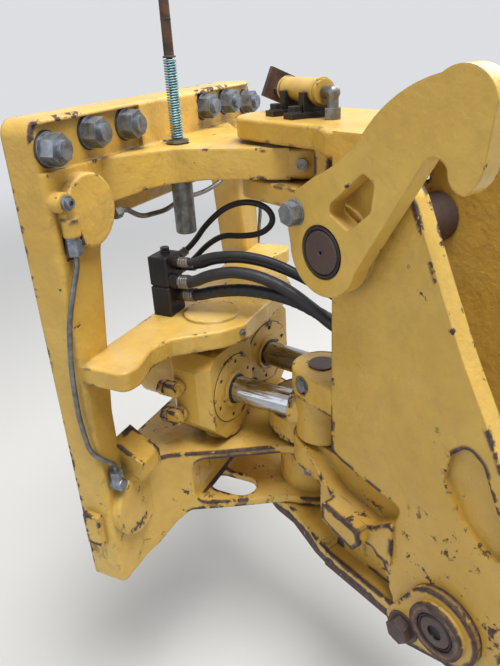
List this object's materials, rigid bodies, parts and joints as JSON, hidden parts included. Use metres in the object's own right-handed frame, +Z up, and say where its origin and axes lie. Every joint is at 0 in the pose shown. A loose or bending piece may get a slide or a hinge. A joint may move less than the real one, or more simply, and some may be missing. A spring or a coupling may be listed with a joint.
{
  "type": "backhoe swing carriage with swing post",
  "caption": "Cast carriage with two trunnion-mounted swing cylinders, a swing post that turns on it, and a boom lock hook.",
  "frame": {"origin": "on the carriage's flat rear face, on its centre line, level with the inner flange bolts", "axes": "+X to the machine's right, +Y forward into the machine, +Z up"},
  "size_m": [0.652, 0.7838, 0.947],
  "materials": {
    "ochre_paint": "ochre-yellow machine enamel over iron castings, chipped along its edges",
    "zinc_steel": "zinc-plated steel, dulled",
    "chrome_rod": "hard chrome, oily",
    "dark_steel": "dark oiled steel, lightly rusted",
    "black_rubber": "black hose rubber, dusty"
  },
  "bodies": {
    "carriage": {"carriage_casting": "ochre_paint", "clamp_fittings": "zinc_steel", "clamp_pipes": "zinc_steel", "clamp_plug_far": "zinc_steel", "clamp_plug_near": "zinc_steel", "ear_plugs": "zinc_steel", "flange_bolts": "zinc_steel", "hose_fixed_loop": "black_rubber", "hose_pilot_lower": "black_rubber", "hose_pilot_upper": "black_rubber", "hose_work_lower": "black_rubber", "hose_work_upper": "black_rubber", "lower_swing_pin": "dark_steel", "manifold": "dark_steel", "pin_spring": "zinc_steel", "pull_rod": "dark_steel", "spring_clip": "zinc_steel", "supply_pipe": "zinc_steel", "swing_lock_pin": "dark_steel", "upper_swing_pin": "dark_steel"},
    "swing_post": {"bulkhead": "zinc_steel", "foot_pin": "dark_steel", "foot_pin_keeper": "ochre_paint", "hook_pin": "dark_steel", "keeper_bolt": "dark_steel", "lock_bracket": "dark_steel", "lock_cylinder": "ochre_paint", "lock_elbow": "dark_steel", "lug_bolts": "zinc_steel", "lug_pin_far": "dark_steel", "lug_pin_near": "dark_steel", "swing_post": "ochre_paint"},
    "boom_lock_hook": {"boom_lock_hook": "ochre_paint", "hook_bolt": "zinc_steel"},
    "lock_rod": {"lock_plate": "dark_steel", "lock_rod": "dark_steel"},
    "barrel_near": {"port_fittings_near": "ochre_paint", "swing_barrel_near": "ochre_paint", "swing_gland_near": "ochre_paint"},
    "barrel_far": {"port_fittings_far": "ochre_paint", "swing_barrel_far": "ochre_paint", "swing_gland_far": "ochre_paint"},
    "rod_near": {"rod_eye_near": "ochre_paint", "swing_rod_near": "chrome_rod"},
    "rod_far": {"rod_eye_far": "ochre_paint", "swing_rod_far": "chrome_rod"}
  },
  "joints": [
    {"name": "swing", "type": "hinge", "parent": "carriage", "child": "swing_post", "pos_m": [0, -0.298, 0], "axis": [0, 0, -1], "range_deg": [-117, 63], "deforming": ["hose_pilot_lower", "hose_pilot_upper", "hose_work_lower", "hose_work_upper"]},
    {"name": "cylinder_turn_near", "type": "hinge", "parent": "carriage", "child": "barrel_near", "pos_m": [-0.076, -0.148, -0.452], "axis": [0, 0, -1], "range_deg": [-34.45, 18.55]},
    {"name": "rod_slide_near", "type": "slide", "parent": "barrel_near", "child": "rod_near", "axis": [-0.0935, -0.9956, 0], "range_m": [-0.0567, 0.1053]},
    {"name": "cylinder_turn_far", "type": "hinge", "parent": "carriage", "child": "barrel_far", "pos_m": [0.076, -0.148, -0.452], "axis": [0, 0, -1], "range_deg": [-29.47, 15.87]},
    {"name": "rod_slide_far", "type": "slide", "parent": "barrel_far", "child": "rod_far", "axis": [-0.2408, -0.9706, 0], "range_m": [-0.1053, 0.0567]},
    {"name": "hook_lift", "type": "hinge", "parent": "swing_post", "child": "boom_lock_hook", "pos_m": [-0.20337, -0.39976, -0.139], "axis": [-0.891, 0.454, 0], "range_deg": [0, 40]},
    {"name": "lock_rod_slide", "type": "slide", "parent": "swing_post", "child": "lock_rod", "axis": [0.6293, 0.7771, 0], "range_m": [0, 0.03]}
  ],
  "couplings": [
    {"joint": "cylinder_turn_near", "follows": "swing", "ratio": 0.2944},
    {"joint": "rod_slide_near", "follows": "swing", "m_per_rad": -0.051566},
    {"joint": "cylinder_turn_far", "follows": "swing", "ratio": 0.2519},
    {"joint": "rod_slide_far", "follows": "swing", "m_per_rad": 0.051566}
  ]
}
